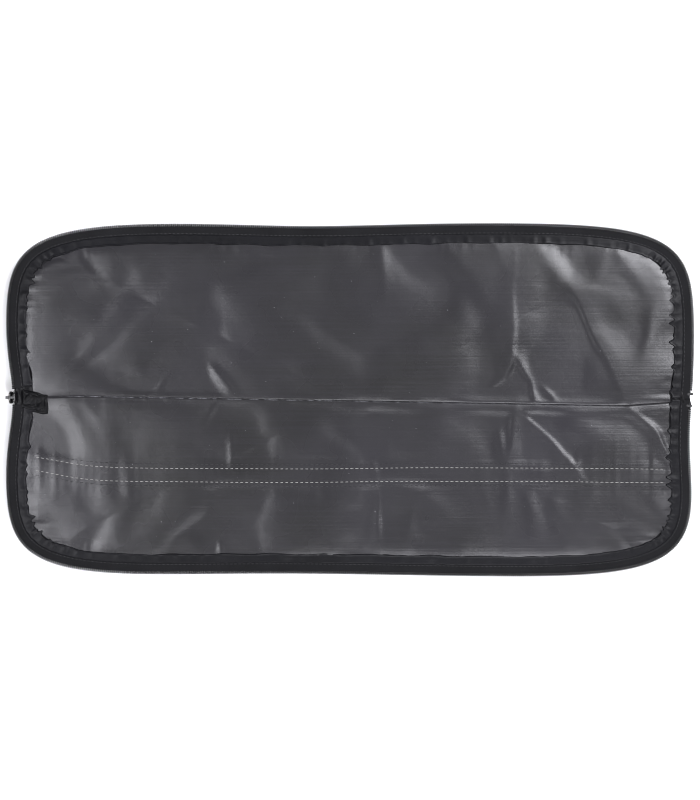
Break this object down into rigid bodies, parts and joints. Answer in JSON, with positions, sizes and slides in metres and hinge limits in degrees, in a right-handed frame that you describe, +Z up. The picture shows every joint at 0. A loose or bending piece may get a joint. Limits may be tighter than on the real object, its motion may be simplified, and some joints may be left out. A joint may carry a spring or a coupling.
{
  "type": "film changing bag",
  "caption": "Light-tight film changing bag with its zipped mouth undone and spread flat, folded body and elastic-cuffed sleeves underneath.",
  "frame": {"origin": "on the ground under the middle of the outline", "axes": "+X along the mouth's length, away from the slider; +Y towards the rear lip; +Z up"},
  "size_m": [0.5513, 0.2832, 0.0189],
  "materials": {
    "proofed_lining": "coated nylon, charcoal grey, low sheen",
    "outer_cloth": "plain-weave nylon, black, matt",
    "binding_cloth": "coated nylon, black, satin",
    "zip_tape": "woven polyester tape, black",
    "zip_coil": "nylon coil, black",
    "webbing": "nylon webbing, dark grey",
    "black_thread": "sewing thread, black",
    "white_thread": "sewing thread, white",
    "stop_metal": "black enamel",
    "slider_metal": "black enamel, worn to grey metal at the edges",
    "nickel_wire": "nickel-plated wire",
    "elastic": "braided elastic"
  },
  "bodies": {
    "bag": {"band_thread_black": "black_thread", "band_thread_white": "white_thread", "body_inner_bottom": "proofed_lining", "body_inner_top": "proofed_lining", "body_outer_bottom": "outer_cloth", "body_outer_top": "outer_cloth", "body_side_seam": "outer_cloth", "bottom_stop": "stop_metal", "chain_end": "zip_coil", "chain_end_tape": "zip_tape", "end_tab": "binding_cloth", "front_binding": "binding_cloth", "front_end_stop": "stop_metal", "front_lining": "proofed_lining", "front_shell": "outer_cloth", "front_tape_thread": "black_thread", "front_throat": "outer_cloth", "front_zip_coil": "zip_coil", "front_zip_tape": "zip_tape", "left_arm_collar": "outer_cloth", "rear_throat": "outer_cloth", "right_arm_collar": "outer_cloth", "webbing_band": "webbing"},
    "rear_lip": {"rear_binding": "binding_cloth", "rear_end_stop": "stop_metal", "rear_lining": "proofed_lining", "rear_shell": "outer_cloth", "rear_tape_thread": "black_thread", "rear_zip_coil": "zip_coil", "rear_zip_tape": "zip_tape"},
    "zip_slider": {"slider_body": "slider_metal", "slider_crown": "slider_metal"},
    "ring": {"pull_ring": "nickel_wire"},
    "left_arm": {"left_sleeve": "outer_cloth", "left_cuff": "outer_cloth", "left_cuff_elastic": "elastic"},
    "right_arm": {"right_sleeve": "outer_cloth", "right_cuff": "outer_cloth", "right_cuff_elastic": "elastic"}
  },
  "joints": [
    {"name": "lip_fold", "type": "hinge", "parent": "bag", "child": "rear_lip", "pos_m": [0, 0, 0.0156], "axis": [1, 0, 0], "range_deg": [0, 175]},
    {"name": "zip_run", "type": "slide", "parent": "bag", "child": "zip_slider", "axis": [0, 0, -1], "range_m": [0, 0.0034]},
    {"name": "ring_swing", "type": "hinge", "parent": "zip_slider", "child": "ring", "pos_m": [-0.2731, 0.002, 0.01185], "axis": [0, 1, 0], "range_deg": [0, 95]},
    {"name": "left_sleeve_swing", "type": "hinge", "parent": "bag", "child": "left_arm", "pos_m": [-0.135, 0.118, 0.00315], "axis": [1, 0, 0], "range_deg": [0, 180]},
    {"name": "right_sleeve_swing", "type": "hinge", "parent": "bag", "child": "right_arm", "pos_m": [0.135, 0.118, 0.00315], "axis": [1, 0, 0], "range_deg": [0, 180]}
  ]
}
